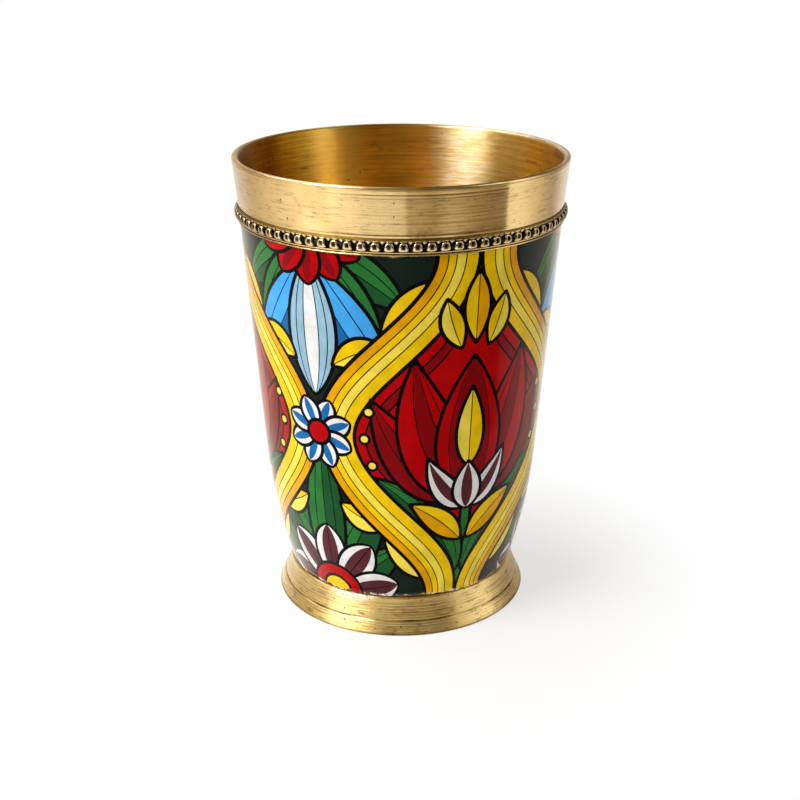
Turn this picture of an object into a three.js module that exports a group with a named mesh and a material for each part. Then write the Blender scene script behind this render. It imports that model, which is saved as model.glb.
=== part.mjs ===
// A footed brass tumbler: a spun cup with a bare lip band, a beaded moulding of three wires below it,
// a printed film sleeve round the tapered wall, and a flared hollow foot brazed under the floor.
// Millimetres, +Z up. The origin is on the cup's axis, in the plane that the foot stands on.
import * as THREE from "three";

// Skin: the outline that the lip band, the film and the neck share, from the foot up to the lip
const height = 117.6;
const bandHeight = 11.6; // bare band from the lip down to the moulding
const waistRadius = 40.3; // under the moulding, where the film ends
const lipFlare = 1.45; // how far the lip stands out past the waist
const taperHeight = 40; // the wall is a straight taper from here up to the waist
const taperRadius = 35.5;
const neckHeight = 9.3;
const neckRadius = 29.6;

// Cup wall and floor
const wallThickness = 1.2; // behind the film
const lipThickness = 1.7;
const lipRound = 0.4;
const heelDrop = 2.1; // from the neck down to the floor's underside
const floorThickness = 1.4;
const heelReach = 2; // how far the rounded heel reaches in over the floor, outside
const innerHeelReach = 4.5; // the same inside the cup
const innerHeelRise = 4;

// Film sleeve, in a recess that keeps it flush with the lip band
const filmThickness = 0.25;
const filmGap = 0.1; // adhesive
const filmEdgeGap = 0.3; // bare wall left between the film and the foot

// Beaded moulding: a plain rail, a beaded wire and a plain rail, each soldered to the wall
const upperRailHeight = 0.8;
const upperRailReach = 0.4;
const upperRailNose = 0.2; // upright edge in front of the sloping ledge
const beadCount = 81;
const beadRadius = 1.03;
const beadStretch = 1.2; // beads are longer round the ring than they are tall
const stringHeight = 0.9; // the thin web that carries the beads
const stringReach = 0.35;
const lowerRailHeight = 1;
const lowerRailReach = 0.45;
const jointGap = 0.1; // film of solder or braze wherever two pieces meet

// Foot
const footRadius = 33.25;
const footEdge = 0.35; // rounded lower edge
const footLedge = 0.45; // how far the foot's top stands out past the neck
const footShoulder = 0.7;
const footFlare = 0.5; // how far the flare hollows in from a straight cone
const grooveHeight = 3.5;
const grooveWidth = 0.4;
const grooveDepth = 0.28;
const standWidth = 2.6; // flat ring that the foot stands on
const shelfReach = 3.4; // ledge under the cup's floor, in from the heel
const shelfThickness = 1.5;
const footWall = 2.2;
const filletLeg = 1.3;

// Facets
const turnSegments = 60;
const curveSegments = 5;
const roundSegments = 2;
const beadSteps = [-0.5, -0.38, -0.22, 0, 0.22, 0.38]; // shares of the bead pitch, from gap to gap
const domeSegments = 4;
const pointTolerance = 1e-4; // points closer than this are one

const brass = { color: 0xd9ae62, roughness: 0.32, metalness: 1 };
const brushedBrass = { color: 0xcfa55a, roughness: 0.38, metalness: 1 };
const patinaBrass = { color: 0x9c7a3c, roughness: 0.36, metalness: 1 };
const brazingBrass = { color: 0xb98f4a, roughness: 0.5, metalness: 1 };
const printedFilm = { color: 0xb02a20, roughness: 0.14, metalness: 0 };

const at = (radius, z) => new THREE.Vector2(radius, z);
const moved = (points, radius, z = 0) => points.map((p) => at(p.x + radius, p.y + z));
const curve = (from, control, to, steps = curveSegments) =>
  new THREE.QuadraticBezierCurve(from, control, to).getPoints(steps);

// Radius of an upward outline at a height, between its own points
function radiusOn(outline, z) {
  const next = outline.findIndex((p) => p.y > z);
  const upper = outline[next === -1 ? outline.length - 1 : Math.max(next, 1)];
  const lower = outline[next === -1 ? outline.length - 2 : Math.max(next, 1) - 1];
  return lower.x + ((upper.x - lower.x) * (z - lower.y)) / (upper.y - lower.y);
}

// Points without those that repeat their neighbour
const distinct = (points) => points.filter((p, i) => i === 0 || p.distanceTo(points[i - 1]) > pointTolerance);

// A solid of revolution about Z. The profile runs upwards on its outer side, and closes on itself
// unless it starts and ends on the axis.
function turned(profile) {
  const points = distinct(profile);
  const open = points[0].x === 0 && points.at(-1).x === 0;
  const outline = open ? points : [...points, points[0].clone()];
  return new THREE.LatheGeometry(outline, turnSegments).rotateX(Math.PI / 2);
}

function piece(name, geometry, finish) {
  const mesh = new THREE.Mesh(geometry, new THREE.MeshStandardMaterial(finish));
  mesh.name = name;
  return mesh;
}

// Heights of the three wires, down from the lip band to the waist
const bandFoot = height - bandHeight;
const upperRailFoot = bandFoot - upperRailHeight;
const beadHeight = upperRailFoot - jointGap - beadRadius;
const lowerRailTop = beadHeight - beadRadius - jointGap;
const waistHeight = lowerRailTop - lowerRailHeight;

// The taper is straight, and both curves leave it along its own line
const taperSlope = (waistRadius - taperRadius) / (waistHeight - taperHeight);
const onTaper = (z) => waistRadius + taperSlope * (z - waistHeight);
const bellyControl = (neckHeight + taperHeight) / 2;
const lipRadius = waistRadius + lipFlare;
const flareTop = height - lipRound;
const flareControl = (waistHeight + flareTop) / 2;

const belly = curve(
  at(neckRadius, neckHeight),
  at(onTaper(bellyControl), bellyControl),
  at(taperRadius, taperHeight),
);
const flare = curve(
  at(waistRadius, waistHeight),
  at(onTaper(flareControl), flareControl),
  at(lipRadius, flareTop),
);
const filmRecess = filmGap + filmThickness;

// Outside of the heel, below the neck: it leaves the belly along its slope and lands flat on the floor
const floorHeight = neckHeight - heelDrop;
const neckSlope = (onTaper(bellyControl) - neckRadius) / (bellyControl - neckHeight);
const heelCorner = neckRadius - filmRecess - neckSlope * heelDrop;
const heel = curve(
  at(heelCorner - heelReach, floorHeight),
  at(heelCorner, floorHeight),
  at(neckRadius - filmRecess, neckHeight),
  roundSegments,
);

function cupShell() {
  const lipInner = lipRadius - lipThickness;
  const lip = [
    ...curve(at(lipRadius, flareTop), at(lipRadius, height), at(lipRadius - lipRound, height), roundSegments),
    ...curve(at(lipInner + lipRound, height), at(lipInner, height), at(lipInner, flareTop), roundSegments),
  ];
  const inset = filmRecess + wallThickness;
  const innerFlare = curve(
    at(lipInner, flareTop),
    at(onTaper(flareControl) - inset, flareControl),
    at(waistRadius - inset, waistHeight),
  );
  const floorTop = floorHeight + floorThickness;
  const heelTop = floorTop + innerHeelRise;
  const innerBelly = moved(belly, -inset).filter((p) => p.y > heelTop).reverse();
  const heelTopRadius = radiusOn(belly, heelTop) - inset;
  const innerCorner = heelTopRadius - neckSlope * innerHeelRise;
  const innerHeel = curve(
    at(heelTopRadius, heelTop),
    at(innerCorner, floorTop),
    at(innerCorner - innerHeelReach, floorTop),
    roundSegments,
  );
  return turned([
    at(0, floorHeight),
    ...heel,
    ...moved(belly, -filmRecess),
    at(waistRadius - filmRecess, waistHeight),
    ...flare,
    ...lip,
    ...innerFlare,
    ...innerBelly,
    ...innerHeel,
    at(0, floorTop),
  ]);
}

function printSleeve() {
  const lowerEdge = neckHeight + filmEdgeGap;
  const upperEdge = waistHeight - jointGap;
  const wall = moved([...belly, at(waistRadius, waistHeight)], -filmRecess);
  const back = [
    at(radiusOn(wall, lowerEdge), lowerEdge),
    ...wall.filter((p) => p.y > lowerEdge && p.y < upperEdge),
    at(radiusOn(wall, upperEdge), upperEdge),
  ];
  return turned([...moved(back, filmRecess), ...moved(back, filmGap).reverse()]);
}

// Face that the three wires are soldered on
const seat = (z) => radiusOn(flare, z) + jointGap;

// Ledge rail: it slopes down and out from the lip band, with a short upright nose
function upperRail() {
  const nose = radiusOn(flare, upperRailFoot) + upperRailReach;
  return turned([
    at(seat(upperRailFoot), upperRailFoot),
    at(nose, upperRailFoot),
    at(nose, upperRailFoot + upperRailNose),
    at(seat(bandFoot), bandFoot),
  ]);
}

// Half-round fillet between the beads and the film
function lowerRail() {
  const middle = waistHeight + lowerRailHeight / 2;
  const crown = radiusOn(flare, middle) + lowerRailReach;
  const foot = at(seat(waistHeight), waistHeight);
  const top = at(seat(lowerRailTop), lowerRailTop);
  return turned([
    ...curve(foot, at(crown, waistHeight), at(crown, middle), roundSegments),
    ...curve(at(crown, middle), at(crown, lowerRailTop), top, roundSegments),
  ]);
}

// Beaded wire: half-round beads on a thin string, flat against the wall. At each step round the ring
// the section is a dome whose height and reach follow the bead's sphere, and never less than the string.
function beadedWire() {
  const pitch = (2 * Math.PI) / beadCount;
  const backRadius = seat(beadHeight);
  const positions = [];
  for (let bead = 0; bead < beadCount; bead++) {
    for (const step of beadSteps) {
      const turn = (bead + step) * pitch;
      const along = (step * pitch * backRadius) / beadStretch;
      const sphere = Math.sqrt(Math.max(0, beadRadius ** 2 - along ** 2));
      const rise = Math.max(sphere, stringHeight / 2);
      const reach = Math.max(sphere, stringReach);
      for (let i = 0; i <= domeSegments; i++) {
        const angle = Math.PI * (i / domeSegments - 0.5);
        const z = beadHeight + rise * Math.sin(angle);
        const radius = seat(z) + reach * Math.cos(angle);
        positions.push(radius * Math.sin(turn), -radius * Math.cos(turn), z);
      }
    }
  }
  const rings = beadCount * beadSteps.length;
  const side = domeSegments + 1;
  const index = [];
  for (let ring = 0; ring < rings; ring++) {
    const here = ring * side;
    const next = ((ring + 1) % rings) * side;
    for (let i = 0; i < side; i++) {
      const j = (i + 1) % side;
      index.push(here + i, next + i, next + j, here + i, next + j, here + j);
    }
  }
  const geometry = new THREE.BufferGeometry();
  geometry.setAttribute("position", new THREE.Float32BufferAttribute(positions, 3));
  geometry.setIndex(index);
  geometry.computeVertexNormals();
  return geometry;
}

// Ledge in the foot that the cup's floor rests on
const shelfTop = floorHeight - jointGap;
const shelfRadius = heelCorner - heelReach - shelfReach;
const shelfFoot = shelfTop - shelfThickness;

function footRing() {
  const footTopRadius = neckRadius + footLedge;
  const shoulderFoot = neckHeight - footShoulder;
  const middle = (footEdge + shoulderFoot) / 2;
  const outside = curve(
    at(footRadius, footEdge),
    at((footRadius + footTopRadius) / 2 - footFlare, middle),
    at(footTopRadius, shoulderFoot),
  );
  const grooveFoot = grooveHeight - grooveWidth / 2;
  const grooveTop = grooveHeight + grooveWidth / 2;
  const groove = [
    at(radiusOn(outside, grooveFoot), grooveFoot),
    at(radiusOn(outside, grooveHeight) - grooveDepth, grooveHeight),
    at(radiusOn(outside, grooveTop), grooveTop),
  ];
  const heelSeat = moved(heel, jointGap, -jointGap);
  const mouth = heelSeat.at(-1);
  const shoulder = curve(
    at(footTopRadius, shoulderFoot),
    at(footTopRadius, mouth.y),
    at(footTopRadius - footShoulder, mouth.y),
    roundSegments,
  ).filter((p) => p.x > mouth.x);
  const standOuter = footRadius - footEdge;
  return turned([
    at(standOuter - standWidth, 0),
    at(standOuter, 0),
    ...outside.filter((p) => p.y < grooveFoot),
    ...groove,
    ...outside.filter((p) => p.y > grooveTop),
    ...shoulder,
    ...heelSeat.reverse(),
    at(shelfRadius, shelfTop),
    at(shelfRadius, shelfFoot),
    at(radiusOn(outside, shelfFoot) - footWall, shelfFoot),
  ]);
}

// Fillet of brazing brass in the corner between the cup's floor and the edge of the foot's ledge
function brazeFillet() {
  const corner = shelfRadius - jointGap;
  const hollow = filletLeg / 4;
  const face = curve(
    at(corner - filletLeg, shelfTop),
    at(corner - hollow, shelfTop - hollow),
    at(corner, shelfTop - filletLeg),
    roundSegments,
  );
  return turned([...face, at(corner, shelfTop)]);
}

const tumbler = new THREE.Group();
tumbler.add(
  piece("cup_shell", cupShell(), brass),
  piece("print_sleeve", printSleeve(), printedFilm),
  piece("upper_bead_rail", upperRail(), brass),
  piece("beaded_wire", beadedWire(), patinaBrass),
  piece("lower_bead_rail", lowerRail(), brass),
  piece("foot_ring", footRing(), brushedBrass),
  piece("braze_fillet", brazeFillet(), brazingBrass),
);

export default tumbler;
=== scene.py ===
"""Studio picture of a footed brass tumbler: spun cup, beaded moulding, printed sleeve and turned foot."""
import math

import bpy
import numpy as np
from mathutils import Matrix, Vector, noise
from mathutils.geometry import delaunay_2d_cdt


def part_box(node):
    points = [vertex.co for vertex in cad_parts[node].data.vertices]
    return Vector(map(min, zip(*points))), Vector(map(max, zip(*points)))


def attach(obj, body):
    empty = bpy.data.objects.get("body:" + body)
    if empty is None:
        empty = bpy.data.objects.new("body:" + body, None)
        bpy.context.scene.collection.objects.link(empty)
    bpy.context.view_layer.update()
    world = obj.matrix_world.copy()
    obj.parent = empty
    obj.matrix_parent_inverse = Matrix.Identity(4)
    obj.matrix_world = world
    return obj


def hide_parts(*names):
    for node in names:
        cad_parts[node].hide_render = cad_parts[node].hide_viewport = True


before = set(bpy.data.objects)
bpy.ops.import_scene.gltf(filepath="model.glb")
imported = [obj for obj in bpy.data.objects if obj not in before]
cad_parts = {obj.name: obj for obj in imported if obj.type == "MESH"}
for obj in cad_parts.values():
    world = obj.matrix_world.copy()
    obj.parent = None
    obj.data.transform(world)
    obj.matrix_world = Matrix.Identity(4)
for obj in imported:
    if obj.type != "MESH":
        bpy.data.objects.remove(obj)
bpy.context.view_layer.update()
MM = 0.001

# Sizes that the frame gives
cup_low, cup_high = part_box("cup_shell")
film_low, film_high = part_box("print_sleeve")
upper_low, upper_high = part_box("upper_bead_rail")
bead_low, bead_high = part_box("beaded_wire")
lower_low, lower_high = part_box("lower_bead_rail")
_, foot_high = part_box("foot_ring")
fillet_low, fillet_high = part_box("braze_fillet")
HEIGHT = cup_high.z
LIP_RADIUS = cup_high.x
FLOOR_HEIGHT = cup_low.z
FOOT_RADIUS = foot_high.x
WAIST_HEIGHT = lower_low.z
FILM_FOOT = film_low.z
FILM_TOP = film_high.z

# Sizes that repeat the CAD model's own
LIP_FLARE = 1.45 * MM
WAIST_RADIUS = LIP_RADIUS - LIP_FLARE
TAPER_HEIGHT = 40 * MM
TAPER_RADIUS = 35.5 * MM
NECK_HEIGHT = 9.3 * MM
NECK_RADIUS = 29.6 * MM
WALL = 1.2 * MM
LIP_THICKNESS = 1.7 * MM
LIP_ROUND = 0.4 * MM
HEEL_DROP = 2.1 * MM
HEEL_REACH = 2 * MM
FLOOR_THICKNESS = 1.4 * MM
INNER_HEEL_REACH = 4.5 * MM
INNER_HEEL_RISE = 4 * MM
FILM_THICKNESS = 0.25 * MM
FILM_RECESS = 0.35 * MM
JOINT_GAP = 0.1 * MM
BEAD_COUNT = 81
FOOT_EDGE = 0.35 * MM
FOOT_LEDGE = 0.45 * MM
FOOT_SHOULDER = 0.7 * MM
FOOT_FLARE = 0.5 * MM
GROOVE_HEIGHT = 3.5 * MM
GROOVE_WIDTH = 0.4 * MM
GROOVE_DEPTH = 0.28 * MM
STAND_WIDTH = 2.6 * MM
SHELF_REACH = 3.4 * MM
SHELF_THICKNESS = 1.5 * MM
FOOT_WALL = 2.2 * MM

# Mesh fineness
SEGMENTS = 288
CURVE_STEPS = 48
ROUND_STEPS = 8
STAND_STEPS = 3
SAME_POINT = 1e-7


# Outlines, as rows of radius and height

def quadratic(start, control, end, steps=CURVE_STEPS):
    """Points of a quadratic curve."""
    u = np.linspace(0, 1, steps + 1)[:, None]
    return np.array(start) * (1 - u) ** 2 + 2 * np.array(control) * u * (1 - u) + np.array(end) * u ** 2


def straight(start, end, steps):
    u = np.linspace(0, 1, steps + 1)[:, None]
    return np.array(start) * (1 - u) + np.array(end) * u


def joined(*runs):
    """Runs of points end to end, without repeats."""
    points = np.concatenate([np.atleast_2d(run) for run in runs])
    steps = np.linalg.norm(np.diff(points, axis=0), axis=1)
    return points[np.concatenate([[True], steps > SAME_POINT])]


def radius_on(outline, height):
    return np.interp(height, outline[:, 1], outline[:, 0])


TAPER_SLOPE = (WAIST_RADIUS - TAPER_RADIUS) / (WAIST_HEIGHT - TAPER_HEIGHT)
BELLY_CONTROL = (NECK_HEIGHT + TAPER_HEIGHT) / 2
FLARE_TOP = HEIGHT - LIP_ROUND
FLARE_CONTROL = (WAIST_HEIGHT + FLARE_TOP) / 2


def on_taper(height):
    return WAIST_RADIUS + TAPER_SLOPE * (height - WAIST_HEIGHT)


belly = quadratic(
    (NECK_RADIUS, NECK_HEIGHT), (on_taper(BELLY_CONTROL), BELLY_CONTROL), (TAPER_RADIUS, TAPER_HEIGHT))
wall = straight((TAPER_RADIUS, TAPER_HEIGHT), (WAIST_RADIUS, WAIST_HEIGHT), CURVE_STEPS)
flare = quadratic(
    (WAIST_RADIUS, WAIST_HEIGHT), (on_taper(FLARE_CONTROL), FLARE_CONTROL),
    (LIP_RADIUS, FLARE_TOP), 2 * CURVE_STEPS)
skin = joined(belly, wall, flare)
NECK_SLOPE = (on_taper(BELLY_CONTROL) - NECK_RADIUS) / (BELLY_CONTROL - NECK_HEIGHT)
HEEL_CORNER = NECK_RADIUS - FILM_RECESS - NECK_SLOPE * HEEL_DROP
heel = quadratic(
    (HEEL_CORNER - HEEL_REACH, FLOOR_HEIGHT), (HEEL_CORNER, FLOOR_HEIGHT),
    (NECK_RADIUS - FILM_RECESS, NECK_HEIGHT), ROUND_STEPS)
SHELF_TOP = FLOOR_HEIGHT - JOINT_GAP
SHELF_RADIUS = HEEL_CORNER - HEEL_REACH - SHELF_REACH


def on_wall(height):
    """Point on the outer wall where a wire of the moulding sits, with room for solder."""
    return radius_on(flare, height) + JOINT_GAP, height


def turning_marks(outline, depth, pitch, seed):
    """An outline with shallow tool marks across it, alike all round, as a lathe leaves them."""
    along = np.concatenate([[0], np.cumsum(np.linalg.norm(np.diff(outline, axis=0), axis=1))])
    marks = np.array([noise.noise(Vector((a / pitch, seed, 0.5))) for a in along])
    marked = outline.copy()
    marked[1:-1, 0] += depth * marks[1:-1]
    return marked


def scored(outline, height, width, depth):
    """An outline with one round-bottomed groove in it."""
    cut = outline.copy()
    cut[:, 0] -= depth * np.exp(-((cut[:, 1] - height) / (width / 2)) ** 2)
    return cut


# Meshes

def new_piece(name, vertices, faces, material, sharp_angle=40):
    mesh = bpy.data.meshes.new(name)
    mesh.from_pydata(vertices, [], faces)
    mesh.update()
    mesh.shade_smooth()
    mesh.set_sharp_from_angle(angle=math.radians(sharp_angle))
    mesh.materials.append(material)
    piece = bpy.data.objects.new(name, mesh)
    bpy.context.scene.collection.objects.link(piece)
    return piece


def seat(piece, node):
    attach(piece, "root")
    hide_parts(node)


def mark(piece, name, values):
    """Gives each point of a piece a value under a name, which its material reads."""
    piece.data.attributes.new(name, "FLOAT", "POINT").data.foreach_set("value", np.asarray(values, float))


def radii(vertices):
    return np.hypot(vertices[:, 0], vertices[:, 1])


def turns(vertices):
    """Angle of each vertex round the axis, in degrees, from the side that faces the camera."""
    return np.degrees(np.arctan2(vertices[:, 0], -vertices[:, 1]))


def past(turn, place):
    """Degrees from a place round the axis to each turn, by the shorter way."""
    return (turn - place + 180) % 360 - 180


# How sharply places end
SOFT, FIRM, HARD = 2, 4, 8


def zones(turn, places, power):
    """How far each turn lies within some places, which have a turn in degrees, a spread and a strength."""
    return np.max([strength * np.exp(-(past(turn, place) / spread) ** power)
                   for place, spread, strength in places], axis=0)


def faded(distance, fade, start=1.0):
    """A share that falls from its start by 1 with each fade of distance, kept from 0 to 1."""
    return np.clip(start - distance / fade, 0, 1)


def dented(vertices, depth, size, seed):
    """Vertices pushed in and out from the axis by smooth noise, as handling leaves a thin wall."""
    moved = vertices.copy()
    for i, point in enumerate(vertices):
        shift = depth * noise.noise(Vector(point) / size + Vector((seed, 0, 0)))
        radius = math.hypot(point[0], point[1])
        if radius > depth:
            moved[i, :2] *= 1 + shift / radius
    return moved


def grid_faces(rings, columns, closed=True):
    """Faces between the rings of a grid of vertices. The last ring also meets the first if closed."""
    ring, column = np.meshgrid(np.arange(rings if closed else rings - 1), np.arange(columns), indexing="ij")
    here = ring * columns
    above = (ring + 1) % rings * columns
    beside = (column + 1) % columns
    return np.stack([here + column, here + beside, above + beside, above + column], 2).reshape(-1, 4)


def lathe(profile, segments=SEGMENTS):
    """Vertices and faces of a profile turned about Z. The profile runs upwards on its outer side, and closes
    on itself unless it starts and ends on the axis."""
    on_axis = profile[0, 0] < SAME_POINT
    rings = profile[1:-1] if on_axis else profile
    turn = np.arange(segments) * 2 * math.pi / segments
    x = rings[:, :1] * np.sin(turn)
    y = -rings[:, :1] * np.cos(turn)
    z = np.repeat(rings[:, 1:], segments, axis=1)
    vertices = np.stack([x, y, z], 2).reshape(-1, 3)
    faces = grid_faces(len(rings), segments, not on_axis).tolist()
    if on_axis:
        near = np.arange(segments)
        following = (near + 1) % segments
        bottom = len(vertices)
        top = bottom + 1
        last = bottom - segments
        vertices = np.concatenate([vertices, [[0, 0, profile[0, 1]], [0, 0, profile[-1, 1]]]])
        faces += np.stack([np.full(segments, bottom), following, near], 1).tolist()
        faces += np.stack([np.full(segments, top), last + near, last + following], 1).tolist()
    return vertices, faces


# Shapes of the brass pieces

INNER_LIP_ROUND = 0.75 * MM
FLOOR_HUB = 2 * MM
# Height, width and depth of the lines round the lip band, of which the last one stands proud
BAND_LINES = (
    (HEIGHT - 1.5 * MM, 0.35 * MM, 0.04 * MM), (HEIGHT - 2.3 * MM, 0.3 * MM, 0.03 * MM),
    (upper_high.z + 0.45 * MM, 0.4 * MM, -0.06 * MM))


def cup_outside():
    """Outline from the middle of the floor's underside, up the wall to the top of the lip."""
    recess = np.array([FILM_RECESS, 0])
    band = turning_marks(flare, depth=0.012 * MM, pitch=0.45 * MM, seed=1)
    for height, width, depth in BAND_LINES:
        band = scored(band, height, width, depth)
    lip = quadratic(
        (LIP_RADIUS, FLARE_TOP), (LIP_RADIUS, HEIGHT), (LIP_RADIUS - LIP_ROUND, HEIGHT), ROUND_STEPS)
    underside = straight((FLOOR_HUB, FLOOR_HEIGHT), heel[0], ROUND_STEPS)
    return joined((0, FLOOR_HEIGHT), underside, heel, belly - recess, wall[1:] - recess, band, lip)


def cup_inside():
    """Outline from the top of the lip, down the inner wall to the middle of the floor."""
    inset = FILM_RECESS + WALL
    lip_foot = HEIGHT - INNER_LIP_ROUND
    lip_inner = LIP_RADIUS - LIP_THICKNESS
    lip = quadratic(
        (lip_inner + INNER_LIP_ROUND, HEIGHT), (lip_inner, HEIGHT), (lip_inner, lip_foot), ROUND_STEPS)
    inner_flare = quadratic(
        (lip_inner, lip_foot), (on_taper(FLARE_CONTROL) - inset, FLARE_CONTROL),
        (WAIST_RADIUS - inset, WAIST_HEIGHT), 2 * CURVE_STEPS)
    inner_wall = straight(
        (WAIST_RADIUS - inset, WAIST_HEIGHT), (TAPER_RADIUS - inset, TAPER_HEIGHT), 3 * CURVE_STEPS)
    floor_top = FLOOR_HEIGHT + FLOOR_THICKNESS
    heel_top = floor_top + INNER_HEEL_RISE
    inner_belly = belly[belly[:, 1] > heel_top][::-1] - np.array([inset, 0])
    heel_radius = radius_on(belly, heel_top) - inset
    corner = heel_radius - NECK_SLOPE * INNER_HEEL_RISE
    inner_heel = quadratic(
        (heel_radius, heel_top), (corner, floor_top), (corner - INNER_HEEL_REACH, floor_top), 2 * ROUND_STEPS)
    side = joined(inner_flare, inner_wall, inner_belly)
    side = turning_marks(side, depth=0.014 * MM, pitch=0.6 * MM, seed=2)
    floor = straight(inner_heel[-1], (FLOOR_HUB, floor_top), ROUND_STEPS)
    return joined(lip, side, inner_heel, floor, (0, floor_top))


FOOT_LINE_COUNT = 14
FOOT_LINE_PITCH = 0.55 * MM
FOOT_LINE_WIDTH = 0.22 * MM
FOOT_LINE_DEPTH = 0.04 * MM


def foot_lines():
    """Height and depth of each uneven line that the tool left round the foot."""
    for k in range(FOOT_LINE_COUNT):
        height = (k + 1 + 0.3 * math.sin(5 * k)) * FOOT_LINE_PITCH
        yield height, FOOT_LINE_DEPTH * (1 + 0.7 * math.sin(2.3 * k))


def foot_profile():
    top_radius = NECK_RADIUS + FOOT_LEDGE
    shoulder_foot = NECK_HEIGHT - FOOT_SHOULDER
    middle = (FOOT_EDGE + shoulder_foot) / 2
    outside = quadratic(
        (FOOT_RADIUS, FOOT_EDGE), ((FOOT_RADIUS + top_radius) / 2 - FOOT_FLARE, middle),
        (top_radius, shoulder_foot), 2 * CURVE_STEPS)
    outside = turning_marks(outside, depth=0.012 * MM, pitch=0.3 * MM, seed=3)
    for height, depth in foot_lines():
        outside = scored(outside, height, FOOT_LINE_WIDTH, depth)
    outside = scored(outside, GROOVE_HEIGHT, GROOVE_WIDTH, GROOVE_DEPTH)
    heel_seat = heel + np.array([JOINT_GAP, -JOINT_GAP])
    mouth = heel_seat[-1]
    shoulder = quadratic(
        outside[-1], (top_radius, mouth[1]), (top_radius - FOOT_SHOULDER, mouth[1]), ROUND_STEPS)
    stand_outer = FOOT_RADIUS - FOOT_EDGE
    edge = quadratic((stand_outer, 0), (FOOT_RADIUS, 0), outside[0], ROUND_STEPS)
    stand = straight((stand_outer - STAND_WIDTH, 0), edge[0], STAND_STEPS)
    shelf_foot = SHELF_TOP - SHELF_THICKNESS
    inner_top = (radius_on(outside, shelf_foot) - FOOT_WALL, shelf_foot)
    return joined(
        stand, edge, outside, shoulder, mouth, heel_seat[::-1],
        (SHELF_RADIUS, SHELF_TOP), (SHELF_RADIUS, shelf_foot), inner_top)


RAIL_SEGMENTS = 12 * BEAD_COUNT
BEAD_TURN = math.radians(0.7)
LEDGE_FOOT = upper_low.z + 0.35 * (upper_high.z - upper_low.z)
LEDGE_HOLLOW = 0.1 * MM
LEDGE_RISE = 0.55 * MM
NOSE_ROUND = 0.15 * MM
SCALLOP_DROP = 0.6 * MM
SCALLOP_TUCK = 0.15 * MM
SCALLOP_SHARE = 0.2


def upper_rail():
    """Ledge that slopes down and out from the lip band. Its nose reaches down and in between the beads; the
    third result is how far each vertex lies from the nearest gap, as a share of the beads' pitch."""
    nose = upper_high.x
    ledge = quadratic(
        (nose, LEDGE_FOOT), (nose - LEDGE_HOLLOW, upper_low.z + LEDGE_RISE),
        on_wall(upper_high.z), ROUND_STEPS)
    under = quadratic((nose - NOSE_ROUND, upper_low.z), (nose, upper_low.z), (nose, LEDGE_FOOT), ROUND_STEPS)
    vertices, faces = lathe(joined(on_wall(upper_low.z), under, ledge), RAIL_SEGMENTS)
    angle = np.arctan2(vertices[:, 0], -vertices[:, 1]) - BEAD_TURN
    phase = angle * BEAD_COUNT / (2 * math.pi) % 1
    apart = np.abs(phase - 0.5)
    tip = faded(apart, SCALLOP_SHARE)
    low = np.clip((LEDGE_FOOT - vertices[:, 2]) / (LEDGE_FOOT - upper_low.z), 0, 1)
    vertices[:, :2] *= 1 - (SCALLOP_TUCK / nose * tip * low)[:, None]
    vertices[:, 2] -= SCALLOP_DROP * tip * low
    return vertices, faces, apart


VALLEY_HEIGHT = lower_low.z + 0.45 * (lower_high.z - lower_low.z)
VALLEY_DEPTH = 0.3 * MM
LOWER_SWELL = 0.25 * MM
UPPER_SWELL = 0.3 * MM
SWELL_INSET = 0.05 * MM


def lower_rail_profile():
    """Two thin rounds with a groove between them."""
    low, high, crown = lower_low.z, lower_high.z, lower_high.x
    valley = (crown - VALLEY_DEPTH, VALLEY_HEIGHT)
    first = quadratic(on_wall(low), (crown + LOWER_SWELL, low + SWELL_INSET), valley, 2 * ROUND_STEPS)
    second = quadratic(valley, (crown + UPPER_SWELL, high - SWELL_INSET), on_wall(high), 2 * ROUND_STEPS)
    return joined(np.minimum(first, [crown, high]), np.minimum(second, [crown, high]))


def fillet_profile():
    """Hollow run of braze in the corner under the floor."""
    leg = fillet_high.z - fillet_low.z
    corner = fillet_high.x
    top = fillet_high.z
    face = quadratic(
        (corner - leg, top), (corner - leg / 4, top - leg / 4), (corner, top - leg), ROUND_STEPS)
    return joined(face, (corner, top))


BEAD_STEPS = 24
DOME_STEPS = 20
STRING_HEIGHT = 0.9 * MM
STRING_REACH = 0.35 * MM
BEAD_STRETCH = 1.2
BEAD_POWER = 2.8
BEAD_LEAN = 0.18
BEAD_FLATNESS = 0.45
CORE_HALF_WIDTH = 0.42 * MM
CORE_HALF_ANGLE = math.radians(38)
CORE_ANGLE = math.radians(12)
CORE_DEPTH = 0.16 * MM
CORE_POWER = 6
CROWN_SHARE = 0.68
GAP_FADE = 0.12


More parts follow.
